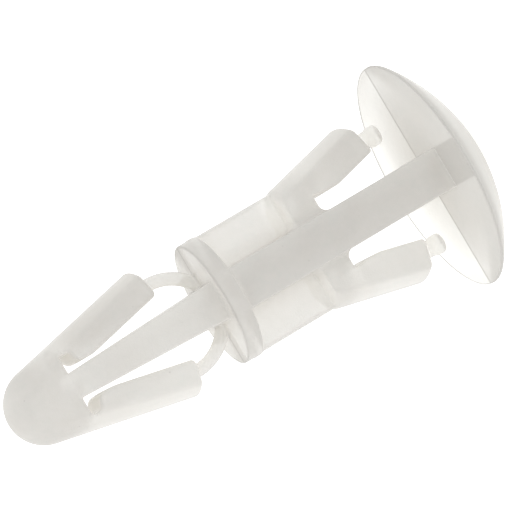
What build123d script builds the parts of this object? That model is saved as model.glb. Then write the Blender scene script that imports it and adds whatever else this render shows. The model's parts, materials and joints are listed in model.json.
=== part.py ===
from build123d import *

import os
from math import cos, radians, sin, sqrt, tan

# Snap-in panel anchor: a one-piece nylon fixing pushed tip first through a panel hole.
# Two large barbs spring out behind the panel and hold it against the mushroom head.
# A barrel stands off from the panel, and two small barbs snap a second board onto its end.
#
# Frame: origin at the centre of the head's flat underside, +Z along the axis to the tip,
# X across the barbs, Y through the thickness. Millimetres.

# Holes in the two sheets that the anchor joins
PANEL_HOLE_RADIUS = 3.175
BOARD_HOLE_RADIUS = 2.375

# Relief inside each hole's circle, so that a sheet bears on a ring round its hole
SEAT_RELIEF = 0.03

# Head
HEAD_RADIUS = 5.3
HEAD_HEIGHT = 2.15
HEAD_RIM_HEIGHT = 0.1
HEAD_RIM_BEVEL = 0.05

# Core blade through the panel barbs and the barrel
CORE_HALF_WIDTH = 0.93
CORE_HALF_DEPTH = 2.6

# Barrel: core blade, thin webs beside it and a round end flange
BARREL_RADIUS = 2.8
BARREL_START_Z = 6.6
FLANGE_START_Z = 10.23
BARREL_END_Z = 11.03
WEB_HALF_DEPTH = 0.5
FLANGE_BEVEL = 0.06

# Panel barbs: flat-sided arms cut from a cone that widens towards the head
PANEL_BARB_HALF_DEPTH = 1.7
PANEL_CONE_ROOT_RADIUS = 2.74
PANEL_CONE_END_RADIUS = 3.76
PANEL_CONE_END_Z = 2.3
PANEL_BARB_INNER_X = 2.12
PANEL_BARB_END_Z = 2.06
PANEL_HEEL_X = 1.62
PANEL_HEEL_Z = 4.1
PANEL_HEEL_BULGE = (0.18, 0.62)
PANEL_HOOK_Z = 4.85
PANEL_SLOT_ROOT_Z = 5.4
PANEL_SLOT_ROUND = 0.4
PANEL_HINGE_X = 2.54
PANEL_HINGE_Z = 5.12
PANEL_HINGE_RADIUS = 0.42

# Locating pegs on the ends of the panel barbs
PEG_RADIUS = 0.44
PEG_X = 2.66
PEG_END_Z = 0.93
PEG_END_ROUND = 0.12

# Tip blade between the small barbs
TIP_BLADE_HALF_WIDTH = 0.85
TIP_BLADE_HALF_DEPTH = 2.15
TIP_BLADE_END_HALF_WIDTH = 0.56
TIP_BLADE_END_HALF_DEPTH = 1.55

# Tip cone and round nose
TIP_BARB_HALF_DEPTH = 1.5
TIP_CONE_END_RADIUS = 2.95
TIP_CONE_END_Z = 13.15
TIP_CONE_ANGLE = 12.2
NOSE_RADIUS = 1.6
TIP_SLOT_ROOT_Z = 17.9

# Tip barbs
TIP_BARB_INNER_X = 1.66
TIP_BARB_END_Z = 13.08
TIP_HEEL_X = 0.82
TIP_HEEL_Z = 16.75
TIP_HEEL_BULGE = (0.25, 0.66)
TIP_HOOK_Z = 17.5
TIP_HINGE_X = 1.64
TIP_HINGE_Z = 17.75
TIP_HINGE_RADIUS = 0.3

# Strands that tie each tip barb's end to the barrel's end face, at the tip blade's foot
STRAND_RADIUS = 0.27
STRAND_X = 2.07
STRAND_BEND_Z = 12.95
STRAND_BEND_RADIUS = 2.2
STRAND_BEND_ANGLE = 61.0

# Gap between pieces that move against each other
RUNNING_GAP = 0.02

# Anything longer or wider than the whole anchor, for trimming solids
BEYOND = 40.0

PANEL_CONE_LENGTH = BARREL_START_Z - PANEL_CONE_END_Z
PANEL_CONE_SLOPE = (PANEL_CONE_END_RADIUS - PANEL_CONE_ROOT_RADIUS) / PANEL_CONE_LENGTH

# The nose is a ball that the tip cone touches, so its centre follows from the cone
TIP_CONE_SLOPE = tan(radians(TIP_CONE_ANGLE))
NOSE_WIDTH_ON_CONE = NOSE_RADIUS / cos(radians(TIP_CONE_ANGLE))
NOSE_CENTRE_Z = TIP_CONE_END_Z + (TIP_CONE_END_RADIUS - NOSE_WIDTH_ON_CONE) / TIP_CONE_SLOPE
NOSE_END_Z = NOSE_CENTRE_Z + NOSE_RADIUS


def panel_cone_radius(z):
    """Radius of the cone that the panel barbs are cut from."""
    return PANEL_CONE_ROOT_RADIUS + (BARREL_START_Z - z) * PANEL_CONE_SLOPE


def tip_cone_radius(z):
    """Radius of the cone that the tip barbs are cut from."""
    return TIP_CONE_END_RADIUS - (z - TIP_CONE_END_Z) * TIP_CONE_SLOPE


def plate(edges, half_depth):
    """Extrude a closed outline, drawn in X and Z, the same distance each way along Y."""
    return extrude(Plane.XZ * make_face(edges), amount=half_depth, both=True)


def turned(edges):
    """Revolve a closed outline about the Z axis, with the seam turned away from the barbs."""
    return Rot(0, 0, 90) * revolve(Plane.XZ * make_face(edges), axis=Axis.Z)


def slab(low_z, high_z, half_width, half_depth):
    """A rectangular block centred on the axis, between two heights."""
    block = Box(2 * half_width, 2 * half_depth, high_z - low_z)
    return Pos(0, 0, (low_z + high_z) / 2) * block


def disc(low_z, high_z, radius):
    """A cylinder on the axis, between two heights."""
    return Pos(0, 0, (low_z + high_z) / 2) * Cylinder(radius, high_z - low_z)


def pivot_rod(x, z, radius):
    """A long round bar along Y, centred on a barb's hinge line."""
    return Pos(x, 0, z) * Rot(90, 0, 0) * Cylinder(radius, BEYOND)


def right_half():
    """Everything on the +X side of the core blade."""
    return Pos(CORE_HALF_WIDTH + BEYOND / 2, 0, 0) * Box(BEYOND, BEYOND, BEYOND)


def both_sides(name, right_solid):
    """A right-hand piece and its mirror image, under their node names."""
    return {
        f"{name}_right": right_solid,
        f"{name}_left": mirror(right_solid, about=Plane.YZ),
    }


def head_dome():
    """Plano-convex mushroom head, with a narrow rim and a seat ring on its underside."""
    rise = HEAD_HEIGHT - HEAD_RIM_HEIGHT
    dome_radius = (HEAD_RADIUS**2 + rise**2) / (2 * rise)
    dome_centre_z = dome_radius - HEAD_HEIGHT
    middle_x = HEAD_RADIUS / 2
    middle_z = dome_centre_z - sqrt(dome_radius**2 - middle_x**2)
    rim_bottom = (HEAD_RADIUS, -HEAD_RIM_HEIGHT)
    apex = (0, -HEAD_HEIGHT)
    hub = (0, -SEAT_RELIEF)
    return turned(
        [
            Polyline(
                hub,
                (PANEL_HOLE_RADIUS, -SEAT_RELIEF),
                (PANEL_HOLE_RADIUS, 0),
                (HEAD_RADIUS - HEAD_RIM_BEVEL, 0),
                (HEAD_RADIUS, -HEAD_RIM_BEVEL),
                rim_bottom,
            ),
            ThreePointArc(rim_bottom, (middle_x, middle_z), apex),
            Line(apex, hub),
        ]
    )


def core_blade(low_z, high_z):
    """The flat-sided blade on the axis, with its thin faces rounded to the barrel's cylinder."""
    return slab(low_z, high_z, CORE_HALF_WIDTH, CORE_HALF_DEPTH) & disc(low_z, high_z, BARREL_RADIUS)


def panel_cone():
    """Solid cone that limits the panel barbs and their yokes."""
    return turned(
        Polyline(
            (0, 0),
            (panel_cone_radius(0), 0),
            (PANEL_CONE_ROOT_RADIUS, BARREL_START_Z),
            (0, BARREL_START_Z),
            close=True,
        )
    )


def barb_yoke():
    """Right-hand shoulder that carries a panel barb, with a socket for the barb's hinge."""
    corner_cut = PANEL_SLOT_ROUND * (1 - cos(radians(45)))
    blade_side = (CORE_HALF_WIDTH, PANEL_SLOT_ROOT_Z - PANEL_SLOT_ROUND)
    round_middle = (CORE_HALF_WIDTH + corner_cut, PANEL_SLOT_ROOT_Z - corner_cut)
    root_side = (CORE_HALF_WIDTH + PANEL_SLOT_ROUND, PANEL_SLOT_ROOT_Z)
    outline = [
        ThreePointArc(blade_side, round_middle, root_side),
        Polyline(
            root_side,
            (PANEL_HINGE_X, PANEL_SLOT_ROOT_Z),
            (PANEL_HINGE_X, PANEL_HINGE_Z),
            (BEYOND, PANEL_HINGE_Z),
            (BEYOND, BARREL_START_Z),
            (CORE_HALF_WIDTH, BARREL_START_Z),
            blade_side,
        ),
    ]
    socket = pivot_rod(PANEL_HINGE_X, PANEL_HINGE_Z, PANEL_HINGE_RADIUS + RUNNING_GAP)
    return plate(outline, PANEL_BARB_HALF_DEPTH) & panel_cone() - socket


def barrel_web():
    """Right-hand thin web between the core blade and the barrel's outer edge."""
    web = slab(BARREL_START_Z, FLANGE_START_Z, BARREL_RADIUS, WEB_HALF_DEPTH)
    return web & disc(BARREL_START_Z, FLANGE_START_Z, BARREL_RADIUS) & right_half()


def board_flange():
    """Round flange whose end face has the seat ring for the second board."""
    return turned(
        Polyline(
            (0, FLANGE_START_Z),
            (BARREL_RADIUS, FLANGE_START_Z),
            (BARREL_RADIUS, BARREL_END_Z - FLANGE_BEVEL),
            (BARREL_RADIUS - FLANGE_BEVEL, BARREL_END_Z),
            (BOARD_HOLE_RADIUS, BARREL_END_Z),
            (BOARD_HOLE_RADIUS, BARREL_END_Z - SEAT_RELIEF),
            (0, BARREL_END_Z - SEAT_RELIEF),
            close=True,
        )
    )


def barb_plate(end, heel, hook, bulge, hinge, hinge_radius, slope, half_depth):
    """Flat-sided arm: square end, straight inner edge, rounded heel and a round hinge at its root.

    bulge places the heel curve's middle, as shares of the way from heel to hook in X and in Z.
    """
    heel_middle = (
        heel[0] + bulge[0] * (hook[0] - heel[0]),
        heel[1] + bulge[1] * (hook[1] - heel[1]),
    )
    hinge_inner = (hinge[0] - hinge_radius, hinge[1])
    hinge_top = (hinge[0], hinge[1] + hinge_radius)
    hinge_outer = (hinge[0] + hinge_radius, hinge[1])
    shoulder_z = hinge[1] - RUNNING_GAP
    far_corner = (end[0] + (shoulder_z - end[1]) / slope, shoulder_z)
    return plate(
        [
            Line(end, heel),
            ThreePointArc(heel, heel_middle, hook),
            Line(hook, hinge_inner),
            ThreePointArc(hinge_inner, hinge_top, hinge_outer),
            Line(hinge_outer, far_corner),
            Line(far_corner, end),
        ],
        half_depth,
    )


def panel_barb():
    """Right-hand large barb."""
    arm = barb_plate(
        end=(PANEL_BARB_INNER_X, PANEL_BARB_END_Z),
        heel=(PANEL_HEEL_X, PANEL_HEEL_Z),
        hook=(PANEL_HINGE_X - PANEL_HINGE_RADIUS, PANEL_HOOK_Z),
        bulge=PANEL_HEEL_BULGE,
        hinge=(PANEL_HINGE_X, PANEL_HINGE_Z),
        hinge_radius=PANEL_HINGE_RADIUS,
        slope=PANEL_CONE_SLOPE,
        half_depth=PANEL_BARB_HALF_DEPTH,
    )
    return arm & panel_cone()


def barb_peg():
    """Right-hand locating peg that stands on the end of a panel barb."""
    middle_z = (PEG_END_Z + PANEL_BARB_END_Z) / 2
    peg = Pos(PEG_X, 0, middle_z) * Cylinder(PEG_RADIUS, PANEL_BARB_END_Z - PEG_END_Z)
    return fillet(peg.edges().sort_by(Axis.Z)[0], PEG_END_ROUND)


def tip_body():
    """Solid cone with a round nose that limits the nose and the tip barbs."""
    cone_angle = radians(TIP_CONE_ANGLE)
    arc_angle = radians(45)
    base = (tip_cone_radius(TIP_BARB_END_Z), TIP_BARB_END_Z)
    touch = (NOSE_RADIUS * cos(cone_angle), NOSE_CENTRE_Z + NOSE_RADIUS * sin(cone_angle))
    arc_middle = (NOSE_RADIUS * cos(arc_angle), NOSE_CENTRE_Z + NOSE_RADIUS * sin(arc_angle))
    end = (0, NOSE_END_Z)
    return turned(
        [
            Line(base, touch),
            ThreePointArc(touch, arc_middle, end),
            Polyline(end, (0, TIP_BARB_END_Z), base),
        ]
    )


def tip_blade():
    """Tapered blade from the barrel's end face to the nose."""
    start = Rectangle(2 * TIP_BLADE_HALF_WIDTH, 2 * TIP_BLADE_HALF_DEPTH)
    end = Rectangle(2 * TIP_BLADE_END_HALF_WIDTH, 2 * TIP_BLADE_END_HALF_DEPTH)
    return loft([Pos(0, 0, BARREL_END_Z - SEAT_RELIEF) * start, Pos(0, 0, TIP_SLOT_ROOT_Z) * end])


def nose():
    """Bullet nose, with the slot roots and a socket for each tip barb's hinge."""
    body = tip_body() & slab(TIP_HINGE_Z, NOSE_END_Z, BEYOND, TIP_BARB_HALF_DEPTH)
    body -= slab(TIP_HINGE_Z, TIP_SLOT_ROOT_Z, TIP_HINGE_X, BEYOND)
    for side in (1, -1):
        body -= pivot_rod(side * TIP_HINGE_X, TIP_HINGE_Z, TIP_HINGE_RADIUS + RUNNING_GAP)
    return body


def tip_barb():
    """Right-hand small barb."""
    arm = barb_plate(
        end=(TIP_BARB_INNER_X, TIP_BARB_END_Z),
        heel=(TIP_HEEL_X, TIP_HEEL_Z),
        hook=(TIP_HINGE_X - TIP_HINGE_RADIUS, TIP_HOOK_Z),
        bulge=TIP_HEEL_BULGE,
        hinge=(TIP_HINGE_X, TIP_HINGE_Z),
        hinge_radius=TIP_HINGE_RADIUS,
        slope=TIP_CONE_SLOPE,
        half_depth=TIP_BARB_HALF_DEPTH,
    )
    return arm & tip_body()


def tip_strand():
    """Right-hand thin round strand from the tip barb's end, bending in to the tip blade's foot."""

    def bend_point(angle):
        """Point on the strand's bend after turning through an angle from straight down."""
        return (
            STRAND_X - STRAND_BEND_RADIUS * (1 - cos(angle)),
            0,
            STRAND_BEND_Z - STRAND_BEND_RADIUS * sin(angle),
        )

    turn = radians(STRAND_BEND_ANGLE)
    top = (STRAND_X, 0, TIP_BARB_END_Z)
    foot = bend_point(turn)
    past = (foot[0] - sin(turn) * STRAND_RADIUS, 0, foot[2] - cos(turn) * STRAND_RADIUS)
    path = Line(top, bend_point(0)) + ThreePointArc(bend_point(0), bend_point(turn / 2), foot)
    path += Line(foot, past)
    section = Plane(origin=top, z_dir=(0, 0, -1)) * Circle(STRAND_RADIUS)
    above_flange = disc(BARREL_END_Z - SEAT_RELIEF + RUNNING_GAP, TIP_BARB_END_Z, BARREL_RADIUS)
    blade_room = slab(FLANGE_START_Z, TIP_BARB_END_Z, TIP_BLADE_HALF_WIDTH + RUNNING_GAP, BEYOND)
    return (sweep(section, path=path) & above_flange) - blade_room


def main():
    nodes = {
        "head_dome": head_dome(),
        "panel_shaft": core_blade(-SEAT_RELIEF, BARREL_START_Z),
        "barrel_rib": core_blade(BARREL_START_Z, FLANGE_START_Z),
        "board_flange": board_flange(),
        "tip_blade": tip_blade(),
        "nose": nose(),
    }
    nodes.update(both_sides("barb_yoke", barb_yoke()))
    nodes.update(both_sides("barrel_web", barrel_web()))
    nodes.update(both_sides("panel_barb", panel_barb()))
    nodes.update(both_sides("barb_peg", barb_peg()))
    nodes.update(both_sides("tip_barb", tip_barb()))
    nodes.update(both_sides("tip_strand", tip_strand()))

    os.makedirs("parts", exist_ok=True)
    for name, solid in nodes.items():
        export_step(solid, f"parts/{name}.step")


main()
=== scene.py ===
import json
import math

import bpy
import numpy as np
from mathutils import Matrix, Vector
from mathutils.bvhtree import BVHTree


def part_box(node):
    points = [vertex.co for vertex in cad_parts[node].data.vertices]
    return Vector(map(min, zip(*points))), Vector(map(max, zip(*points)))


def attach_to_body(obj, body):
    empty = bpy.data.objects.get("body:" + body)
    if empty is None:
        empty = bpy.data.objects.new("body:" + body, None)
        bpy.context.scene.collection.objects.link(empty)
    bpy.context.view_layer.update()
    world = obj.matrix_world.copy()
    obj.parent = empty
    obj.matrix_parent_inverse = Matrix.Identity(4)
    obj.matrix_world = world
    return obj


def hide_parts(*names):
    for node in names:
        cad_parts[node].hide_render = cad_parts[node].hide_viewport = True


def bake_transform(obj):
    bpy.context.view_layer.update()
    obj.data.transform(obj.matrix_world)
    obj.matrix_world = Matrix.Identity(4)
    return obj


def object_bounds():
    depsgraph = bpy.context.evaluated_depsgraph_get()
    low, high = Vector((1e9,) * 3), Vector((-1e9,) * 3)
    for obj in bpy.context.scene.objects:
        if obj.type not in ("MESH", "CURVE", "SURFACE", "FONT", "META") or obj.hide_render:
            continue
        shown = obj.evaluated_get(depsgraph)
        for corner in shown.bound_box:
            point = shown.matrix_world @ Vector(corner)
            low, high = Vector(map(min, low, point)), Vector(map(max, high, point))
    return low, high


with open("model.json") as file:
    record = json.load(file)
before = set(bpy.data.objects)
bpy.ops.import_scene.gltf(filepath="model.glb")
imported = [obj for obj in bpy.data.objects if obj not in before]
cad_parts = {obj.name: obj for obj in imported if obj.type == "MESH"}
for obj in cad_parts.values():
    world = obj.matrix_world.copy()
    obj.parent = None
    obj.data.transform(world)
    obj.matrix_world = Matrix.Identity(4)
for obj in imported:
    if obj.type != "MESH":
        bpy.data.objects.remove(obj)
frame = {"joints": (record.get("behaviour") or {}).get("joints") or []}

# Natural nylon panel anchor, moulded in one piece. The whole moulding is described as one field of
# distances to its surface, meshed once, and then divided where its moving barbs bend and where the
# pieces of the CAD model meet, so that the pieces keep one continuous skin.
# Lengths are in millimetres until a mesh is made.

CAD_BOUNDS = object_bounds()
MM = 0.001
CELL = 0.06  # edge of a mesh cell
BLOCK = 8  # cells along the edge of a block of the distance field's grid
BLOCKS_AT_ONCE = 1500
FAR = 6.0  # outside the moulding's radius


def node_box(node):
    """Lowest and highest corners of a CAD node, in millimetres."""
    low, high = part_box(node)
    return np.array(low) / MM, np.array(high) / MM


def hinge_of(body):
    """Rest position of the hinge that carries a body, in millimetres."""
    joint = next(j for j in frame["joints"] if j["child"] == body)
    return np.array(joint["pos_m"]) / MM


# ---- Sizes that come from the CAD model ----

HEAD_LOW, HEAD_HIGH = node_box("head_dome")
SHAFT_HIGH = node_box("panel_shaft")[1]
WEB_HIGH = node_box("barrel_web_right")[1]
FLANGE_LOW, FLANGE_HIGH = node_box("board_flange")
BARB_LOW, BARB_HIGH = node_box("panel_barb_right")
PEG_LOW, PEG_HIGH = node_box("barb_peg_right")
BLADE_HIGH = node_box("tip_blade")[1]
NOSE_HIGH = node_box("nose")[1]
TIP_BARB_END = node_box("tip_barb_right")[0][2]
PANEL_HINGE = hinge_of("large_barb_right")
TIP_HINGE = hinge_of("small_barb_right")

HEAD_RADIUS = HEAD_HIGH[0]
BARREL_RADIUS = FLANGE_HIGH[0]
BARREL_START = SHAFT_HIGH[2]
FLANGE_START = FLANGE_LOW[2]
BARREL_END = FLANGE_HIGH[2]
BARB_END = BARB_LOW[2]
TIP_SLOT_ROOT = BLADE_HIGH[2]
PEG_X = (PEG_LOW[0] + PEG_HIGH[0]) / 2
PEG_RADIUS = PEG_HIGH[1]

# ---- Shape details of the moulding ----

HEAD_RIM_HEIGHT = 0.1
HEAD_EDGE_ROUND = 0.04
PANEL_CONE = ((3.81, 2.3), (2.79, 6.6))
PANEL_SLOT_ROOT = 5.29
PANEL_SLOT_ROUND = 0.36
BARB_CORNER_ROUND = 0.28
TIP_CORNER_ROUND = 0.18
EDGE_ROUND = 0.1
CORE_EDGE_ROUND = 0.05
TIP_EDGE_ROUND = 0.16
TIP_CONE_END = (3.01, 13.15)
TIP_CONE_ANGLE = math.radians(12.2)
BLADE_END_HALF_WIDTH = 0.56
BLADE_END_HALF_DEPTH = 1.5
PEG_NECK_RADIUS = 0.38
PEG_BULB_LENGTH = 0.55
PEG_BULB_ROUND = 0.16
PEG_NECK_FILLET = 0.1
WEB_INSET = 0.04
FLANGE_EDGE_ROUND = 0.07
STRAND_RADIUS = 0.29
STRAND_X = 2.05
STRAND_BEND_Z = 12.95
STRAND_BEND_RADIUS = 2.2
STRAND_BEND_TURN = math.radians(61)
STRAND_BEND_STEPS = 12
HEAD_OVERLAP = 0.5  # how far the blade runs on into the head
SHORT_OVERLAP = 0.3  # how far a part runs on into its neighbour
LONG_OVERLAP = 0.4

HEAD_FILLET = 0.04
BLADE_FILLET = 0.05
PEG_FILLET = 0.06
THIN_FILLET = 0.08
TIP_FILLET = 0.1
FLANGE_FILLET = 0.12

CUT_MARGIN = 2 * CELL  # how far the cuts between pieces keep from the moulding's corners
BARB_INNER_X = 1.5  # a large barb lies wholly outside this, the shaft inside it
BLADE_CLEARANCE = 0.1  # how far outside the tip blade the small barbs' share starts
STRAND_CLEARANCE = 0.12
CAP_DEPTH = 0.02

RAY_START = 0.02  # how far under the surface the rays that measure thickness start
DEPTH_LIMIT = 3.2
DEPTH_BLUR = 0.25


# ---- Distance fields ----

def rounded_and(first, second, radius):
    """Intersection of two solids, with a round of this radius where their surfaces meet."""
    outside = np.hypot(np.maximum(first + radius, 0), np.maximum(second + radius, 0))
    return np.minimum(-radius, np.maximum(first, second)) + outside


def filleted_or(first, second, radius):
    """Union of two solids, with a fillet of this radius where they meet."""
    return -rounded_and(-first, -second, radius)


def between(value, low, high):
    """Distance field of the space between two parallel planes."""
    return np.abs(value - (low + high) / 2) - (high - low) / 2


def rounded_outline(corners, steps=7):
    """Closed outline through (x, z, radius) corners, with each corner rounded to its radius."""
    points = []
    count = len(corners)
    for index, (x, z, radius) in enumerate(corners):
        corner = np.array((x, z))
        before = np.array(corners[index - 1][:2])
        after = np.array(corners[(index + 1) % count][:2])
        if radius == 0:
            points.append(corner)
            continue
        towards_before = (before - corner) / np.linalg.norm(before - corner)
        towards_after = (after - corner) / np.linalg.norm(after - corner)
        half_angle = math.acos(np.clip(towards_before @ towards_after, -1, 1)) / 2
        reach = radius / math.tan(half_angle)
        middle = (towards_before + towards_after) / np.linalg.norm(towards_before + towards_after)
        centre = corner + middle * radius / math.sin(half_angle)
        start = corner + towards_before * reach - centre
        end = corner + towards_after * reach - centre
        for share in np.linspace(0, 1, steps):
            direction = start * (1 - share) + end * share
            points.append(centre + direction * radius / np.linalg.norm(direction))
    return np.array(points)


def outline_distance(x, z, outline, closed=True):
    """Signed distance to a closed outline in X and Z, or plain distance to an open path."""
    nearest = np.full(x.shape, np.inf)
    inside = np.zeros(x.shape, bool)
    ends = np.roll(outline, -1, axis=0)
    if not closed:
        outline, ends = outline[:-1], outline[1:]
    for (ax, az), (bx, bz) in zip(outline, ends):
        along_x, along_z = bx - ax, bz - az
        from_x, from_z = x - ax, z - az
        share = (from_x * along_x + from_z * along_z) / (along_x**2 + along_z**2)
        share = np.clip(share, 0, 1)
        nearest = np.minimum(nearest, (from_x - share * along_x) ** 2 + (from_z - share * along_z) ** 2)
        if closed and along_z != 0:
            crossed = (az > z) != (bz > z)
            inside ^= crossed & (x < ax + from_z * along_x / along_z)
    return np.where(inside, -1.0, 1.0) * np.sqrt(nearest)


def cone_distance(rho, z, point, slope):
    """Distance to the cone through a (radius, z) point that narrows by slope towards the tip."""
    radius = point[0] + (point[1] - z) * slope
    return (rho - radius) * math.cos(math.atan(slope))


def square_end(inner, slope):
    """Far corner of a barb's end face, which starts at its inner edge and is square to its cone."""
    return (FAR, inner[1] + (FAR - inner[0]) * slope, 0)


def head(rho, z):
    """Domed head with a flat underside and a narrow rim."""
    rise = -HEAD_LOW[2] - HEAD_RIM_HEIGHT
    dome_radius = (HEAD_RADIUS**2 + rise**2) / (2 * rise)
    dome = np.hypot(rho, z - (HEAD_LOW[2] + dome_radius)) - dome_radius
    body = rounded_and(dome, rho - HEAD_RADIUS, HEAD_EDGE_ROUND)
    return rounded_and(body, z, HEAD_EDGE_ROUND)


def core_blade(x, y, z, rho):
    """Flat blade from the head to the flange, its thin faces rounded to the barrel."""
    sides = rounded_and(x - SHAFT_HIGH[0], y - SHAFT_HIGH[1], CORE_EDGE_ROUND)
    length = between(z, -HEAD_OVERLAP, FLANGE_START + SHORT_OVERLAP)
    return np.maximum(np.maximum(sides, rho - BARREL_RADIUS), length)


PANEL_CONE_SLOPE = (PANEL_CONE[0][0] - PANEL_CONE[1][0]) / (PANEL_CONE[1][1] - PANEL_CONE[0][1])
PANEL_ARM_OUTLINE = rounded_outline(
    [
        (0.5, BARREL_START, 0),
        (FAR, BARREL_START, 0),
        square_end((2.12, BARB_END), PANEL_CONE_SLOPE),
        (2.12, BARB_END, 0.14),
        (1.62, 4.1, 1.2),
        (1.66, 4.78, 0.5),
        (1.74, PANEL_SLOT_ROOT, 0.06),
        (0.5, PANEL_SLOT_ROOT, 0),
    ]
)


def panel_arm(x, y, z, rho):
    """Panel barb and the yoke that carries it, cut from a cone."""
    outline = outline_distance(x, z, PANEL_ARM_OUTLINE)
    cone = cone_distance(rho, z, PANEL_CONE[1], PANEL_CONE_SLOPE)
    body = rounded_and(outline, cone, BARB_CORNER_ROUND)
    return rounded_and(body, y - BARB_HIGH[1], EDGE_ROUND)


def peg(x, y, z):
    """Locating peg with a short bulb on a thinner neck."""
    radial = np.hypot(x - PEG_X, y)
    bulb_end = PEG_LOW[2] + PEG_BULB_LENGTH
    bulb = rounded_and(radial - PEG_RADIUS, between(z, PEG_LOW[2], bulb_end), PEG_BULB_ROUND)
    neck_length = between(z, bulb_end - SHORT_OVERLAP, BARB_END + SHORT_OVERLAP)
    neck = np.maximum(radial - PEG_NECK_RADIUS, neck_length)
    return filleted_or(bulb, neck, PEG_NECK_FILLET)


def web(x, y, z, rho):
    """Thin web beside the blade, between the yoke and the flange."""
    sides = rounded_and(y - WEB_HIGH[1], rho - BARREL_RADIUS + WEB_INSET, EDGE_ROUND)
    return np.maximum(sides, between(z, BARREL_START - LONG_OVERLAP, FLANGE_START + SHORT_OVERLAP))


def flange(z, rho):
    """Round flange at the barrel's end."""
    return rounded_and(rho - BARREL_RADIUS, between(z, FLANGE_START, BARREL_END), FLANGE_EDGE_ROUND)


def tapered(z, start, end):
    """Size that goes evenly from one end of the tip blade to the other."""
    share = (z - BARREL_END) / (TIP_SLOT_ROOT - BARREL_END)
    return start + share * (end - start)


def tip_blade(x, y, z):
    """Tapered blade from the flange to the nose."""
    half_width = tapered(z, BLADE_HIGH[0], BLADE_END_HALF_WIDTH)
    half_depth = tapered(z, BLADE_HIGH[1], BLADE_END_HALF_DEPTH)
    sides = rounded_and(x - half_width, y - half_depth, EDGE_ROUND)
    return np.maximum(sides, between(z, BARREL_END - LONG_OVERLAP, TIP_SLOT_ROOT + LONG_OVERLAP))


TIP_CONE_SLOPE = math.tan(TIP_CONE_ANGLE)
NOSE_APEX_RADIUS = TIP_CONE_END[0] - (NOSE_HIGH[2] - TIP_CONE_END[1]) * TIP_CONE_SLOPE
NOSE_RADIUS = NOSE_APEX_RADIUS * math.cos(TIP_CONE_ANGLE) / (1 - math.sin(TIP_CONE_ANGLE))
TIP_ARM_OUTLINE = rounded_outline(
    [
        (-FAR, FAR * 4, 0),
        (FAR, FAR * 4, 0),
        square_end((1.56, TIP_BARB_END), TIP_CONE_SLOPE),
        (1.52, TIP_BARB_END, 0.2),
        (0.72, 16.75, 2.0),
        (0.82, 17.32, 0.35),
        (1.3, 17.48, 0.1),
        (1.4, TIP_SLOT_ROOT, 0.13),
        (-FAR, TIP_SLOT_ROOT, 0),
    ]
)


def tip_arm(x, y, z, rho):
    """Tip barbs and the bullet nose that joins them."""
    outline = outline_distance(x, z, TIP_ARM_OUTLINE)
    cone = cone_distance(rho, z, TIP_CONE_END, TIP_CONE_SLOPE)
    ball_z = NOSE_HIGH[2] - NOSE_RADIUS
    ball = np.hypot(rho, z - ball_z) - NOSE_RADIUS
    bullet = np.where(z > ball_z + rho * TIP_CONE_SLOPE, ball, cone)
    body = rounded_and(outline, bullet, TIP_CORNER_ROUND)
    return rounded_and(body, y - NOSE_HIGH[1], TIP_EDGE_ROUND)


def strand_path():
    """Centre line of a strand: down from the barb's end, bending in to the tip blade's foot."""
    points = [(STRAND_X, TIP_BARB_END + LONG_OVERLAP), (STRAND_X, STRAND_BEND_Z)]
    for turn in np.linspace(0, STRAND_BEND_TURN, STRAND_BEND_STEPS)[1:]:
        in_x = STRAND_BEND_RADIUS * (1 - math.cos(turn))
        down = STRAND_BEND_RADIUS * math.sin(turn)
        points.append((STRAND_X - in_x, STRAND_BEND_Z - down))
    return np.array(points)


STRAND_PATH = strand_path()


def strand(x, y, z):
    """Thin round strand that ties a tip barb's end to the flange."""
    return np.hypot(outline_distance(x, z, STRAND_PATH, closed=False), y) - STRAND_RADIUS


def moulding(points):
    """Distance from each point to the surface of the whole moulding, negative inside."""
    x, y, z = np.abs(points[:, 0]), np.abs(points[:, 1]), points[:, 2]
    rho = np.hypot(points[:, 0], points[:, 1])
    body = filleted_or(core_blade(x, y, z, rho), panel_arm(x, y, z, rho), PANEL_SLOT_ROUND)
    body = filleted_or(body, web(x, y, z, rho), THIN_FILLET)
    body = filleted_or(body, flange(z, rho), FLANGE_FILLET)
    body = filleted_or(body, head(rho, z), HEAD_FILLET)
    body = filleted_or(body, peg(x, y, z), PEG_FILLET)
    tip = filleted_or(tip_arm(x, y, z, rho), tip_blade(x, y, z), BLADE_FILLET)
    tip = filleted_or(tip, strand(x, y, z), THIN_FILLET)
    return filleted_or(body, tip, TIP_FILLET)


# ---- Meshing ----

def grid_index(counts):
    """Every (i, j, k) index of a grid with these counts along its axes."""
    return np.stack(np.meshgrid(*[np.arange(n) for n in counts], indexing="ij"), -1).reshape(-1, 3)


def sample_field(low, counts):
    """Distance field on a grid, worked out only in blocks that the surface can pass through."""
    blocks = -(-counts // BLOCK)
    size = BLOCK * CELL
    index = grid_index(blocks)
    middle = moulding(low + (index + 0.5) * size)
    values = np.repeat(np.repeat(np.repeat(middle.reshape(blocks), BLOCK, 0), BLOCK, 1), BLOCK, 2)
    # the surface can be no further from a busy block's centre than a little over half its diagonal
    reach = size * 0.9 + CELL
    busy = index[np.abs(middle) < reach]
    local = grid_index([BLOCK] * 3)
    for batch in np.array_split(busy, max(1, len(busy) // BLOCKS_AT_ONCE)):
        grid = (batch[:, None, :] * BLOCK + local[None, :, :]).reshape(-1, 3)
        values[grid[:, 0], grid[:, 1], grid[:, 2]] = moulding(low + grid * CELL)
    return values


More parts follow.
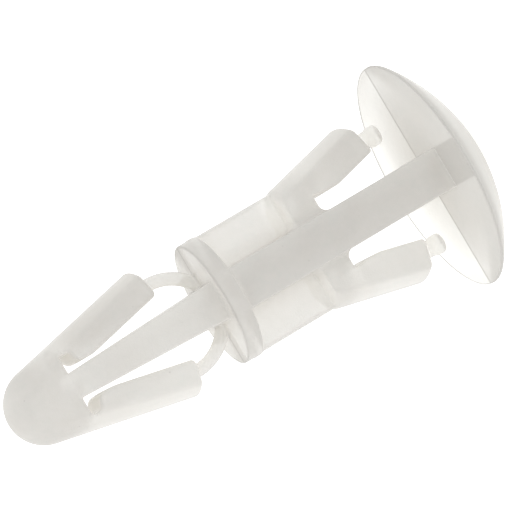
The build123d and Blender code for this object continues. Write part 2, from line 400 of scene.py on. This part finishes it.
def surface_net(low, high):
    """Quads along the zero surface: one vertex in each grid cell that the surface passes through."""
    counts = np.ceil((high - low) / CELL).astype(int) + 1
    values = sample_field(low, counts)
    inside = values < 0
    corners = [(a, b, c) for a in (0, 1) for b in (0, 1) for c in (0, 1)]
    cells = np.array(values.shape) - 1

    def corner_view(array, corner):
        """The grid as seen from one corner of every cell."""
        return array[tuple(slice(o, o + n) for o, n in zip(corner, cells))]

    total = sum(corner_view(inside, corner).astype(np.int8) for corner in corners)
    active = np.argwhere((total > 0) & (total < len(corners)))
    vertex_of = np.full(cells, -1, np.int64)
    vertex_of[tuple(active.T)] = np.arange(len(active))

    summed = np.zeros((len(active), 3))
    hits = np.zeros(len(active))
    for axis in range(3):
        step = np.eye(3, dtype=int)[axis]
        for corner in (corner for corner in corners if not corner[axis]):
            start = active + corner
            end = start + step
            at_start, at_end = values[tuple(start.T)], values[tuple(end.T)]
            crossing = (at_start < 0) != (at_end < 0)
            share = np.where(crossing, at_start / np.where(crossing, at_start - at_end, 1), 0)
            summed += np.where(crossing[:, None], start + share[:, None] * step, 0)
            hits += crossing
    vertices = low + summed / hits[:, None] * CELL

    quads = []
    for axis in range(3):
        step, first, second = np.roll(np.eye(3, dtype=int), -axis, axis=0)
        ahead = tuple(slice(o, None) for o in step)
        behind = tuple(slice(None, -1 if o else None) for o in step)
        for outward in (True, False):
            edges = np.argwhere((inside[behind] == outward) & (inside[ahead] != outward))
            around = [edges, edges - first, edges - first - second, edges - second]
            quad = np.stack([vertex_of[tuple(cell.T)] for cell in around], 1)
            quads.append(quad if outward else quad[:, ::-1])
    return vertices, np.concatenate(quads)


def slopes(points, reach=0.02):
    """Distance and its gradient at each point, from four samples round it."""
    distance = np.zeros(len(points))
    gradient = np.zeros_like(points)
    for corner in np.array(((1, 1, 1), (1, -1, -1), (-1, 1, -1), (-1, -1, 1))):
        sample = moulding(points + corner * reach)
        distance += sample / 4
        gradient += sample[:, None] * corner / (4 * reach)
    return distance, gradient


def settle(vertices):
    """Move vertices onto the exact surface and return them with their normals."""
    for _ in range(2):
        distance, gradient = slopes(vertices)
        length = np.maximum((gradient**2).sum(1), 0.2)
        move = np.clip(distance / length, -CELL, CELL)
        vertices = vertices - gradient * move[:, None]
    gradient = slopes(vertices)[1]
    return vertices, gradient / np.linalg.norm(gradient, axis=1)[:, None]


def quad_edges(quads):
    """Edges of all quads in turn, each as its two vertices."""
    return np.concatenate([quads[:, [i, (i + 1) % 4]] for i in range(4)])


def depths(vertices, normals, quads):
    """Thickness of material behind each vertex, averaged over a few directions into the moulding."""
    tree = BVHTree.FromPolygons(vertices.tolist(), quads.tolist())
    total = np.zeros(len(vertices))
    nearest = np.full(len(vertices), DEPTH_LIMIT)
    aslant = np.array((0.45, 0.3, 0.35))
    leans = (np.zeros(3), aslant, -aslant)
    for lean in leans:
        inward = lean - normals
        inward /= np.linalg.norm(inward, axis=1)[:, None]
        starts = vertices + inward * RAY_START
        for index, (start, way) in enumerate(zip(starts.tolist(), inward.tolist())):
            length = tree.ray_cast(start, way)[3] or 0.0
            total[index] += length
            nearest[index] = min(nearest[index], length)
    depth = np.minimum((total / len(leans) * 2 + nearest) / 3, DEPTH_LIMIT)
    pairs = quad_edges(quads)
    neighbours = np.bincount(pairs[:, 0], minlength=len(depth))
    for _ in range(round((DEPTH_BLUR / CELL) ** 2)):
        summed = np.bincount(pairs[:, 0], weights=depth[pairs[:, 1]], minlength=len(depth))
        depth = (depth + summed / neighbours) / 2
    return depth


# ---- Dividing the moulding into pieces ----

def piece_of(centres):
    """Name of the piece that each surface quad belongs to, from the quad's centre."""
    x, z = np.abs(centres[:, 0]), centres[:, 2]
    side = np.where(centres[:, 0] > 0, "right", "left")
    blade_edge = tapered(z, BLADE_HIGH[0], BLADE_END_HALF_WIDTH) + BLADE_CLEARANCE
    in_barb = (z < PANEL_SLOT_ROOT - CUT_MARGIN) & (x > BARB_INNER_X)
    nose_start = TIP_SLOT_ROOT - CUT_MARGIN
    names = np.full(len(centres), "nose", dtype="U20")
    names[z < nose_start] = "tip_blade"
    beside = (z < nose_start) & (x > blade_edge)
    names[beside] = np.char.add("tip_barb_", side)[beside]
    strands = (z < TIP_BARB_END - CUT_MARGIN) & (x > BLADE_HIGH[0] + STRAND_CLEARANCE)
    names[strands] = np.char.add("tip_strand_", side)[strands]
    names[z < BARREL_END + CUT_MARGIN] = "barrel"
    names[z < BARREL_START + CUT_MARGIN] = "panel_shaft"
    names[in_barb] = np.char.add("panel_barb_", side)[in_barb]
    pegs = in_barb & (z < BARB_END - CUT_MARGIN)
    names[pegs] = np.char.add("barb_peg_", side)[pegs]
    names[z < CUT_MARGIN] = "head_dome"
    return names


def boundary_loops(quads):
    """Closed loops of vertices round the openings of an open quad mesh."""
    edges = quad_edges(quads)
    keys = edges.min(1).astype(np.int64) * (edges.max() + 1) + edges.max(1)
    _, first, count = np.unique(keys, return_index=True, return_counts=True)
    following = {}
    for before, after in edges[first[count == 1]].tolist():
        following.setdefault(before, []).append(after)
    loops = []
    for start, ways_on in following.items():
        while ways_on:
            loop = [start]
            vertex = ways_on.pop()
            while vertex != start:
                loop.append(vertex)
                vertex = following[vertex].pop()
            loops.append(loop)
    return loops


def make_piece(name, vertices, normals, depth, quads, material):
    """Mesh object of one piece: its share of the skin, closed by hidden faces where it was divided."""
    used, local = np.unique(quads, return_inverse=True)
    quads = local.reshape(quads.shape)
    points, point_normals, point_depth = vertices[used], normals[used], depth[used]
    centre_of_piece = points.mean(0)
    faces = quads.tolist()
    skin_faces = len(faces)
    extra_points, extra_normals = [], []
    for loop in boundary_loops(quads):
        rim = points[loop]
        centre = (rim.min(0) + rim.max(0)) / 2
        inward = np.array((0, 0, np.sign(centre_of_piece[2] - centre[2])))
        extra_points.append(centre + inward * CAP_DEPTH)
        extra_normals.append(-inward)
        hub = len(points) + len(extra_points) - 1
        faces += [[loop[(i + 1) % len(loop)], loop[i], hub] for i in range(len(loop))]
    points = np.concatenate([points, np.array(extra_points).reshape(-1, 3)])
    point_normals = np.concatenate([point_normals, np.array(extra_normals).reshape(-1, 3)])
    point_depth = np.concatenate([point_depth, np.zeros(len(extra_points))])

    mesh = bpy.data.meshes.new(name)
    mesh.from_pydata((points * MM).tolist(), [], faces)
    mesh.polygons.foreach_set("use_smooth", np.ones(len(faces), bool))
    rest = mesh.attributes.new("rest_mm", "FLOAT_VECTOR", "POINT")
    rest.data.foreach_set("vector", points.astype(np.float32).ravel())
    behind = mesh.attributes.new("depth_mm", "FLOAT", "POINT")
    behind.data.foreach_set("value", point_depth.astype(np.float32))
    hidden = mesh.attributes.new("hidden_joint", "FLOAT", "FACE")
    flags = np.zeros(len(faces), np.float32)
    flags[skin_faces:] = 1
    hidden.data.foreach_set("value", flags)
    mesh.normals_split_custom_set_from_vertices(point_normals.tolist())
    mesh.materials.append(material)
    mesh.validate()
    piece = bpy.data.objects.new(name, mesh)
    bpy.context.scene.collection.objects.link(piece)
    return piece


# ---- Materials ----

class NodeGraph:
    """Short calls for building a material's node tree."""

    def __init__(self, tree):
        self.tree = tree
        tree.nodes.clear()

    def add(self, kind, **inputs):
        """Add a node, set its plain inputs and link the inputs that are other nodes' outputs."""
        node = self.tree.nodes.new(kind)
        for key, value in inputs.items():
            # an input is named by its label, with underscores for spaces, or by its index after an i
            by_index = key[0] == "i" and key[1:].isdigit()
            self.feed(node.inputs[int(key[1:]) if by_index else key.replace("_", " ")], value)
        return node

    def feed(self, socket, value):
        """Link a socket to another node's output, or set its plain value."""
        if isinstance(value, bpy.types.NodeSocket):
            self.tree.links.new(value, socket)
        else:
            socket.default_value = value

    def attribute(self, name):
        """Node that reads an attribute of the mesh."""
        node = self.add("ShaderNodeAttribute")
        node.attribute_name = name
        return node

    def maths(self, operation, first, second=0.0, clamp=False):
        node = self.add("ShaderNodeMath", i0=first, i1=second)
        node.operation = operation
        node.use_clamp = clamp
        return node.outputs[0]

    def fold(self, operation, values):
        """One operation applied along a list of values."""
        result = values[0]
        for value in values[1:]:
            result = self.maths(operation, result, value)
        return result

    def product(self, *values):
        return self.fold("MULTIPLY", values)

    def total(self, *values):
        return self.fold("ADD", values)

    def largest(self, *values):
        return self.fold("MAXIMUM", values)

    def outside(self, mask):
        """What a mask from 0 to 1 leaves over."""
        return self.maths("SUBTRACT", 1.0, mask)

    def absolute(self, value):
        return self.maths("ABSOLUTE", value)

    def mix_shader(self, factor, first, second):
        """Node that mixes two shader nodes."""
        return self.add("ShaderNodeMixShader", i0=factor, i1=first.outputs[0], i2=second.outputs[0])

    def mix_colour(self, factor, first, second):
        node = self.tree.nodes.new("ShaderNodeMix")
        node.data_type = "RGBA"
        self.feed(node.inputs[0], factor)
        self.feed(node.inputs[6], first)
        self.feed(node.inputs[7], second)
        return node.outputs[2]

    def ramp(self, value, low, high, to_low=0.0, to_high=1.0):
        """Value mapped from one range to another, and held at the range's ends."""
        node = self.add("ShaderNodeMapRange", Value=value)
        node.inputs["From Min"].default_value = low
        node.inputs["From Max"].default_value = high
        node.inputs["To Min"].default_value = to_low
        node.inputs["To Max"].default_value = to_high
        node.clamp = True
        return node.outputs[0]

    def rise(self, value, edge, height=1.0):
        """Mask that rises from 0 over an edge, given as where it starts and ends."""
        return self.ramp(value, edge[0], edge[1], 0.0, height)

    def fall(self, value, edge, height=1.0):
        """Mask that falls to 0 over an edge."""
        return self.ramp(value, edge[0], edge[1], height, 0.0)

    def zone(self, value, rising, falling):
        """Mask that is 1 between a rising and a falling edge."""
        return self.product(self.rise(value, rising), self.fall(value, falling))


# Zones of the moulding, as (start, end) of each soft edge in millimetres. Those named _Z lie along the
# anchor's axis, those named _X across it and those named _Y through it.
HEAD_Z = (0.1, 0.16)
DOME_Z = (-0.5, -0.2)
RIM_Z = (-0.2, -0.12)
PEGS_Z = ((0.16, 0.2), (2.0, 2.2))
PANEL_BARBS_Z = ((1.9, 2.1), (4.2, 6.9))
HEELS_Z = ((2.6, 4.8), (6.6, 7.2))
YOKE_LEDGE_Z = ((6.52, 6.6), (6.9, 7.4))
FLANGE_END_Z = ((10.9, 11.0), (11.1, 11.2))
CORE_END_Z = (11.2, 11.4)
STRANDS_Z = ((11.1, 11.3), (13.0, 13.1))
TIP_BARBS_Z = ((12.9, 13.1), (16.2, 19.0))
TIP_START_Z = (10.0, 12.5)
BLADE_SHADE_Z = ((14.0, 16.0), (17.0, 18.0))
TIP_POCKET_Z = ((16.9, 17.0), (17.7, 17.72))
SHAFT_FOOT_Z = ((-0.04, -0.02), (0.1, 0.4))
LIT_BARBS_X = (0.9, 1.7)
SLENDER_X = (0.8, 1.4)
HEELS_X = (1.0, 1.4)
LEDGE_X = (0.95, 1.05)
PEGS_X = (1.1, 1.2)
FAR_SIDE_X = (0.5, 1.2)
LEFT_TO_RIGHT_X = (-0.5, 0.5)
FAR_HALF_Y = (-0.1, 0.0)
FAR_RIM_Y = (-4.6, -2.6)
PARTING_LINE_Y = (0.03, 0.08)
UPRIGHT_FACE = (0.85, 0.98)  # upright part of the surface normal, for faces square to the axis
GLOW_DEPTHS = (0.8, 3.2)  # thickness of the nylon, in millimetres
CLEAR_DEPTHS = (0.8, 3.0)

# Strength of the painted glow in each zone: light that the nylon emits of its own, standing in for the
# lamps' light and the backlight passing through it
THIN_GLOW, THICK_GLOW = 0.08, 0.01
LIT_BARB_GLOW = 0.095
TIP_GLOW = 0.05
LEFT_HEEL_GLOW, RIGHT_HEEL_GLOW = 0.08, 0.04
LEFT_LEDGE_GLOW, RIGHT_LEDGE_GLOW = 0.055, 0.025
FAR_HALF_GLOW = 0.07
FAR_SIDE_GLOW = 0.09
FAR_RIM_GLOW = 0.1
DOME_LIMB_GLOW = 0.14
PEG_GLOW = 0.055
SHAFT_FOOT_GLOW = 0.035
BLADE_SHADE = 0.8  # how much of the tip's glow the blade's middle loses

# Strength of each painted shade on the surface, the dark rim lines among them, and of the specks
NEAR_RIM_SHADE, FAR_RIM_SHADE = 0.4, 0.75
OUTLINE_SHADE = 0.65
SPECK = 0.4
DOME_BAND_SHADE = 0.5
NEAR_HALF_SHADE = 0.09
END_FACE_SHADE = 0.15
STRAND_SHADE = 0.2
SHAFT_REFLECTION_SHADE = 0.6
LINE_AND_SHADE_STRENGTH = 0.5

# Shares of the shaders, and how strongly they bend light
THIN_CLEAR, THICK_CLEAR = 0.5, 0.16
TRANSLUCENT_SHARE = 0.2
GLOSS_SHARE = 0.35
CLEAR_IOR = 1.12
NYLON_IOR = 1.45

WARM_NYLON = (0.84, 0.81, 0.76, 1)
COOL_NYLON = (0.82, 0.81, 0.77, 1)
PALE_NYLON = (0.86, 0.83, 0.79, 1)
# colour that the parting line, the specks and the painted shade darken the nylon towards
LINE_AND_SHADE_COLOUR = (0.34, 0.33, 0.31, 1)
# colour of the painted glow that the nylon emits
PAINTED_GLOW_COLOUR = (0.97, 1, 0.98, 1)
WHITE = (1, 1, 1, 1)
FOG_DENSITY = 420.0
# tone of the painted glow inside the nylon's fog
PAINTED_FOG_GLOW_TONE = (0.64, 0.625, 0.59, 1)


class Spot:
    """Where a shaded point lies on the moulding at rest, in millimetres, and how it faces."""

    def __init__(self, graph, place, bump):
        self.place = place
        self.depth = graph.attribute("depth_mm").outputs["Fac"]
        apart = graph.add("ShaderNodeSeparateXYZ", Vector=self.place)
        self.across, self.through, self.along = apart.outputs
        self.aside = graph.absolute(self.across)
        level = graph.add("ShaderNodeCombineXYZ", X=self.across, Y=self.through)
        length = graph.add("ShaderNodeVectorMath", i0=level.outputs[0])
        length.operation = "LENGTH"
        self.radial = length.outputs["Value"]
        geometry = graph.add("ShaderNodeNewGeometry")
        normal = graph.add("ShaderNodeSeparateXYZ", Vector=geometry.outputs["Normal"])
        self.upright = normal.outputs[2]
        facing = graph.add("ShaderNodeLayerWeight", Blend=0.5, Normal=bump)
        self.edge_on = facing.outputs["Facing"]
        self.in_head = graph.fall(self.along, HEAD_Z)
        self.on_dome = graph.fall(self.along, DOME_Z)


def ledge_zone(graph, spot):
    """Mask of each yoke's end face and of the web next to it."""
    return graph.product(graph.zone(spot.along, *YOKE_LEDGE_Z), graph.rise(spot.aside, LEDGE_X))


def pocket_zone(graph, spot):
    """Mask of the faces inside each small barb's root that look towards the tip."""
    return graph.product(graph.zone(spot.along, *TIP_POCKET_Z), graph.rise(spot.upright, (0.2, 0.5)))


def carried_glow(graph, spot):
    """Strength of the painted glow that the nylon emits at its surface, summed over its zones, in place
    of light passing through it.
    """
    along, across, through, aside = spot.along, spot.across, spot.through, spot.aside
    barbs = graph.total(graph.zone(along, *PANEL_BARBS_Z), graph.zone(along, *TIP_BARBS_Z))
    lit_barbs = graph.product(graph.rise(across, LIT_BARBS_X), barbs)
    blade_shade = graph.product(
        graph.rise(along, BLADE_SHADE_Z[0]), graph.fall(along, BLADE_SHADE_Z[1], BLADE_SHADE)
    )
    tip = graph.product(
        graph.maths("SUBTRACT", graph.rise(along, TIP_START_Z), blade_shade, clamp=True),
        graph.ramp(aside, *SLENDER_X, 1.0, 0.3),
    )
    heels = graph.product(
        graph.ramp(along, *HEELS_Z[0], 0.3, 1.0),
        graph.fall(along, HEELS_Z[1]),
        graph.rise(along, PANEL_BARBS_Z[0]),
        graph.rise(aside, HEELS_X),
    )
    far_half = graph.product(graph.fall(through, FAR_HALF_Y), spot.in_head)
    far_rim = graph.product(graph.fall(through, FAR_RIM_Y), spot.in_head)
    far_side = graph.product(far_half, graph.rise(across, FAR_SIDE_X))
    pegs = graph.product(graph.zone(along, *PEGS_Z), graph.rise(aside, PEGS_X))
    dome_limb = graph.product(graph.rise(spot.edge_on, (0.45, 0.95)), spot.on_dome)
    shaft_foot = graph.product(
        graph.zone(along, *SHAFT_FOOT_Z), graph.fall(spot.upright, UPRIGHT_FACE)
    )
    # painted glow, each zone its own: thin nylon, the right-hand barbs lit by the key lamp, the tip,
    # the heels, the head's far half, far rim and far side, the pegs, the dome's edge-on limb, the yoke
    # ledges and the shaft's foot
    return graph.total(
        graph.ramp(spot.depth, *GLOW_DEPTHS, THIN_GLOW, THICK_GLOW),
        graph.product(lit_barbs, LIT_BARB_GLOW),
        graph.product(tip, TIP_GLOW),
        graph.product(heels, graph.ramp(across, *LEFT_TO_RIGHT_X, LEFT_HEEL_GLOW, RIGHT_HEEL_GLOW)),
        graph.product(far_half, FAR_HALF_GLOW),
        graph.product(far_rim, FAR_RIM_GLOW),
        graph.product(far_side, FAR_SIDE_GLOW),
        graph.product(pegs, PEG_GLOW),
        graph.product(dome_limb, DOME_LIMB_GLOW),
        graph.product(
            ledge_zone(graph, spot),
            graph.ramp(across, *LEFT_TO_RIGHT_X, LEFT_LEDGE_GLOW, RIGHT_LEDGE_GLOW),
        ),
        graph.product(shaft_foot, SHAFT_FOOT_GLOW),
    )


def surface_lines(graph, spot):
    """Mask of the parting line, the specks, and the painted shade at the head's and flange's rim, at
    edge-on faces and over some faces, from none at 0 to darkest at 1.
    """
    along, across, through, radial = spot.along, spot.across, spot.through, spot.radial
    depth_off_axis = graph.absolute(through)
    parting_line = graph.product(
        graph.fall(depth_off_axis, PARTING_LINE_Y),
        graph.rise(spot.upright, (0.8, 0.95)),
        graph.fall(along, CORE_END_Z),
    )
    # painted shade: dark lines along the head's and the flange's rims stand in for light bent at their
    # rounded edges, darker on the far side; the far rim is seen at a slant, so its line is made wider
    widened = graph.total(radial, graph.fall(through, (-5.0, -2.0), 0.14))
    head_rim = graph.product(
        graph.rise(widened, (HEAD_RADIUS - 0.12, HEAD_RADIUS - 0.05)), graph.rise(along, RIM_Z)
    )
    flange_rim = graph.product(
        graph.rise(radial, (BARREL_RADIUS - 0.1, BARREL_RADIUS - 0.04)),
        graph.zone(along, (BARREL_END - 0.12, BARREL_END - 0.06), CORE_END_Z),
    )
    rim_shade = graph.product(
        graph.largest(head_rim, flange_rim),
        graph.ramp(through, -3.0, 0.0, FAR_RIM_SHADE, NEAR_RIM_SHADE),
    )
    # painted shade: the surface darkens where it turns edge-on, except on the dome
    outline = graph.product(graph.rise(spot.edge_on, (0.8, 1.0), OUTLINE_SHADE), graph.outside(spot.on_dome))
    cells = graph.add("ShaderNodeTexVoronoi", Vector=spot.place, Scale=2.0)
    cell_number = graph.add("ShaderNodeSeparateXYZ", Vector=cells.outputs["Color"]).outputs[0]
    specks = graph.product(
        graph.fall(cells.outputs["Distance"], (0.05, 0.1), SPECK), graph.rise(cell_number, (0.78, 0.8))
    )
    # painted shade: a darker band round the dome next to its rim
    dome_band_shade = graph.product(graph.rise(radial, (4.6, 5.2)), graph.fall(along, RIM_Z, DOME_BAND_SHADE))
    # painted shade: the head's near half is darker than its far half
    near_half = graph.product(graph.rise(through, (0.0, 0.1), NEAR_HALF_SHADE), spot.in_head)
    # painted shade: the left half of the flange's end face is darker
    end_face = graph.product(
        graph.rise(along, FLANGE_END_Z[0]),
        graph.fall(along, FLANGE_END_Z[1], END_FACE_SHADE),
        graph.fall(across, (-0.9, -0.8)),
    )
    # painted shade: the strands are darker
    strands = graph.product(
        graph.zone(along, *STRANDS_Z), graph.rise(spot.aside, (0.9, 1.0), STRAND_SHADE)
    )
    lines_and_shade = graph.product(
        graph.largest(
            parting_line, rim_shade, specks, outline, dome_band_shade, near_half, end_face, strands
        ),
        graph.outside(ledge_zone(graph, spot)),
        graph.outside(pocket_zone(graph, spot)),
    )
    # painted shade on the head's underside before the shaft's foot, which stands in for the shaft's
    # reflection and shadow there
    shaft_reflection_shade = graph.product(
        graph.fall(spot.aside, (0.88, 0.96)),
        graph.rise(depth_off_axis, (2.35, 2.55)),
        graph.fall(along, HEAD_Z, SHAFT_REFLECTION_SHADE),
        graph.rise(spot.upright, UPRIGHT_FACE),
    )
    return graph.largest(lines_and_shade, shaft_reflection_shade)


def clear_share(graph, spot, lines_and_shade):
    """Share of the surface that is see-through: most where the nylon is thin, less on the barbs, and
    less under the marks and painted shade.
    """
    barbs = graph.total(
        graph.zone(spot.along, *PANEL_BARBS_Z), graph.zone(spot.along, *TIP_BARBS_Z)
    )
    arms = graph.maths("MULTIPLY", graph.rise(spot.aside, (0.9, 1.5)), barbs, clamp=True)
    return graph.product(
        graph.ramp(spot.depth, *CLEAR_DEPTHS, THIN_CLEAR, THICK_CLEAR),
        graph.ramp(arms, 0.0, 1.0, 1.0, 0.35),
        # painted shade: the tip pockets lose their see-through share and so look darker
        graph.outside(pocket_zone(graph, spot)),
        # painted shade: where the marks and painted shade lie, the surface is less see-through
        graph.ramp(lines_and_shade, 0.0, 1.0, 1.0, 0.3),
    )


def nylon():
    """Milky, translucent nylon: part scattered light, part rough see-through, under a soft gloss, with
    painted glow and painted shade by zone, and filled with a fog that glows with painted light.
    """
    material = bpy.data.materials.new("natural_nylon")
    material.use_nodes = True
    graph = NodeGraph(material.node_tree)
    place = graph.attribute("rest_mm").outputs["Vector"]
    flow = graph.add("ShaderNodeTexNoise", Vector=place, Scale=0.55, Detail=3.0, Roughness=0.5)
    mottle = graph.add("ShaderNodeTexNoise", Vector=place, Scale=3.2, Detail=4.0, Roughness=0.6)
    grain = graph.add("ShaderNodeTexNoise", Vector=place, Scale=16.0, Detail=3.0)
    relief = graph.add("ShaderNodeBump", Strength=0.12, Distance=0.00004, Height=grain.outputs["Fac"])
    bump = relief.outputs[0]

    spot = Spot(graph, place, bump)
    lines_and_shade = surface_lines(graph, spot)
    # painted glow: light that the nylon emits by zone, less under the marks and painted shade
    painted_glow_strength = graph.product(carried_glow(graph, spot), graph.outside(lines_and_shade))
    base = graph.mix_colour(graph.rise(flow.outputs["Fac"], (0.35, 0.65)), WARM_NYLON, COOL_NYLON)
    base = graph.mix_colour(graph.rise(mottle.outputs["Fac"], (0.3, 0.7)), base, PALE_NYLON)
    # painted shade: the parting line, the specks and the painted shade darken the colour
    colour = graph.mix_colour(graph.product(lines_and_shade, LINE_AND_SHADE_STRENGTH), base, LINE_AND_SHADE_COLOUR)

    diffuse = graph.add("ShaderNodeBsdfDiffuse", Color=colour, Normal=bump)
    through = graph.add("ShaderNodeBsdfTranslucent", Color=colour, Normal=bump)
    clear = graph.add(
        "ShaderNodeBsdfRefraction", Color=WHITE, Roughness=0.2, IOR=CLEAR_IOR, Normal=bump
    )
    gloss = graph.add("ShaderNodeBsdfGlossy", Color=WHITE, Roughness=0.24, Normal=bump)
    fresnel = graph.add("ShaderNodeFresnel", IOR=NYLON_IOR, Normal=bump)
    milky = graph.mix_shader(TRANSLUCENT_SHARE, diffuse, through)
    body = graph.mix_shader(clear_share(graph, spot, lines_and_shade), milky, clear)
    # painted glow: emitted light added to the nylon's own shading
    glow = graph.add("ShaderNodeEmission", Color=PAINTED_GLOW_COLOUR, Strength=painted_glow_strength)
    body = graph.add("ShaderNodeAddShader", i0=body.outputs[0], i1=glow.outputs[0])
    skin = graph.mix_shader(graph.product(fresnel.outputs[0], GLOSS_SHARE), body, gloss)
    nothing = graph.add("ShaderNodeBsdfTransparent", Color=WHITE)
    shown = graph.mix_shader(graph.attribute("hidden_joint").outputs["Fac"], skin, nothing)

    # the fog absorbs light and glows with painted light of its own tone, which stands in for light
    # scattered inside the nylon
    fog = graph.add("ShaderNodeVolumeAbsorption", Color=(0, 0, 0, 1), Density=FOG_DENSITY)
    painted_fog_glow = graph.add("ShaderNodeEmission", Color=PAINTED_FOG_GLOW_TONE, Strength=FOG_DENSITY)
    fog_with_painted_glow = graph.add("ShaderNodeAddShader", i0=fog.outputs[0], i1=painted_fog_glow.outputs[0])
    out = graph.add("ShaderNodeOutputMaterial", Surface=shown.outputs[0], Volume=fog_with_painted_glow.outputs[0])
    out.is_active_output = True
    return material


# ---- Building ----

def build_anchor():
    """Mesh the moulding, divide it into pieces and hang each piece on its body, but for the barbs and
    strands.
    """
    low = np.array(CAD_BOUNDS[0]) / MM - 4 * CELL
    high = np.array(CAD_BOUNDS[1]) / MM + 4 * CELL
    low[:2] = -(np.ceil(-low[:2] / CELL) + 0.5) * CELL
    vertices, quads = surface_net(low, high)
    vertices, normals = settle(vertices)
    depth = depths(vertices, normals, quads)
    names = piece_of(vertices[quads].mean(1))
    material = nylon()
    for name in np.unique(names):
        piece = make_piece(str(name), vertices, normals, depth, quads[names == name], material)
        attach(piece, str(name))


def attach(piece, name):
    """Put a piece on its CAD body, or, for a barb or a strand, which crosses a hinge, only bake it
    where it lies.
    """
    side = name.rsplit("_", 1)[-1]
    if name == "barrel":
        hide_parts("barrel_rib", "barrel_web_left", "barrel_web_right", "board_flange")
        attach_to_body(piece, "core")
    elif name == "panel_shaft":
        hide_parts("panel_shaft", "barb_yoke_left", "barb_yoke_right")
        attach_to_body(piece, "core")
    elif name in ("head_dome", "tip_blade", "nose"):
        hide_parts(name)
        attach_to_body(piece, "core")
    elif name.startswith("barb_peg"):
        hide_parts(name)
        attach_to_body(piece, f"large_barb_{side}")
    else:
        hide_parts(name)
        bend(piece, name, side)
    piece.name = f"{name}_skin"


def bend(piece, name, side):
    """Work out the body and hinge that a barb or a strand would bend with; the piece is only baked
    where it lies, and is neither blended nor hung on a body.
    """
    if name.startswith("panel_barb"):
        body, x = f"large_barb_{side}", PANEL_HINGE[0]
    elif name.startswith("tip_barb"):
        body, x = f"small_barb_{side}", TIP_HINGE[0]
    else:
        body, x = f"small_barb_{side}", STRAND_X
    if side == "left":
        x = -x
    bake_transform(piece)


# ---- Studio ----

AIM = Vector((-0.863, 0, 8.283)) * MM
CAMERA_DISTANCE = 124.6 * MM
CAMERA_ELEVATION = math.radians(15.1)
CAMERA_ROLL = math.radians(30.6)
SENSOR_WIDTH = 36
LENS = 211.0588
LIGHT_AIM = (0, 0, 8)
FLOOR_HALF_SIDE = 0.45
FLOOR_GLOW = 0.75
FLOOR_GLOW_LOST = 0.7  # how much less the floor glows in the light it throws on the anchor
FAR_SIDE_WHITE, NEAR_SIDE_WHITE = 0.97, 0.45
PALE_GREY = (0.8, 0.8, 0.8, 1)


def studio_camera():
    """Camera on the anchor's near side, a little towards its tip, rolled so the anchor lies aslant."""
    back = Vector((0, math.cos(CAMERA_ELEVATION), math.sin(CAMERA_ELEVATION)))
    across = Vector((1, 0, 0))
    to_head = back.cross(across)
    sine, cosine = math.sin(CAMERA_ROLL), math.cos(CAMERA_ROLL)
    right = across * sine + to_head * cosine
    up = to_head * sine - across * cosine
    data = bpy.data.cameras.new("camera")
    data.sensor_width = SENSOR_WIDTH
    data.lens = LENS
    data.clip_start, data.clip_end = 0.01, 2.0
    camera = bpy.data.objects.new("camera", data)
    turn = Matrix((right, up, back)).transposed()
    camera.matrix_world = Matrix.Translation(AIM + back * CAMERA_DISTANCE) @ turn.to_4x4()
    bpy.context.scene.collection.objects.link(camera)
    bpy.context.scene.camera = camera


def studio_floor():
    """Plain white floor that the head's dome stands on."""
    side = FLOOR_HALF_SIDE
    height = HEAD_LOW[2] * MM
    mesh = bpy.data.meshes.new("floor")
    corners = [(x, y, height) for x, y in ((-side, -side), (side, -side), (side, side), (-side, side))]
    mesh.from_pydata(corners, [], [(0, 1, 2, 3)])
    floor = bpy.data.objects.new("floor", mesh)
    bpy.context.scene.collection.objects.link(floor)
    material = bpy.data.materials.new("floor")
    material.use_nodes = True
    graph = NodeGraph(material.node_tree)
    path = graph.add("ShaderNodeLightPath")
    lost = graph.product(path.outputs["Is Diffuse Ray"], FLOOR_GLOW_LOST)
    lit = graph.maths("SUBTRACT", FLOOR_GLOW, lost)
    matt = graph.add("ShaderNodeBsdfDiffuse", Color=PALE_GREY)
    glow = graph.add("ShaderNodeEmission", Color=WHITE, Strength=lit)
    both = graph.add("ShaderNodeAddShader", i0=matt.outputs[0], i1=glow.outputs[0])
    graph.add("ShaderNodeOutputMaterial", Surface=both.outputs[0])
    mesh.materials.append(material)


def studio_world():
    """White surroundings, a little darker on the camera's side, and pure white to the camera."""
    world = bpy.data.worlds.new("studio")
    bpy.context.scene.world = world
    world.use_nodes = True
    graph = NodeGraph(world.node_tree)
    path = graph.add("ShaderNodeLightPath")
    where = graph.add("ShaderNodeTexCoord")
    towards = graph.add("ShaderNodeVectorMath", i0=where.outputs["Generated"])
    towards.operation = "DOT_PRODUCT"
    towards.inputs[1].default_value = (0, math.cos(CAMERA_ELEVATION), math.sin(CAMERA_ELEVATION))
    soft = graph.ramp(towards.outputs["Value"], -0.2, 1.0, FAR_SIDE_WHITE, NEAR_SIDE_WHITE)
    strength = graph.largest(soft, graph.outside(path.outputs["Is Diffuse Ray"]))
    background = graph.add("ShaderNodeBackground", Color=WHITE, Strength=strength)
    graph.add("ShaderNodeOutputWorld", Surface=background.outputs[0])


def soft_light(name, place, size, power):
    """Square area light at a place in millimetres, turned to a point on the anchor's axis."""
    data = bpy.data.lights.new(name, "AREA")
    data.size = size * MM
    data.energy = power
    light = bpy.data.objects.new(name, data)
    light.location = Vector(place) * MM
    light.rotation_euler = (Vector(LIGHT_AIM) - Vector(place)).to_track_quat("-Z", "Y").to_euler()
    bpy.context.scene.collection.objects.link(light)


bpy.context.scene.view_settings.view_transform = "Standard"
build_anchor()
studio_camera()
studio_floor()
studio_world()
soft_light("key", (90, 20, 10), size=60, power=0.008)
soft_light("tip", (15, 20, 120), size=90, power=0.01)
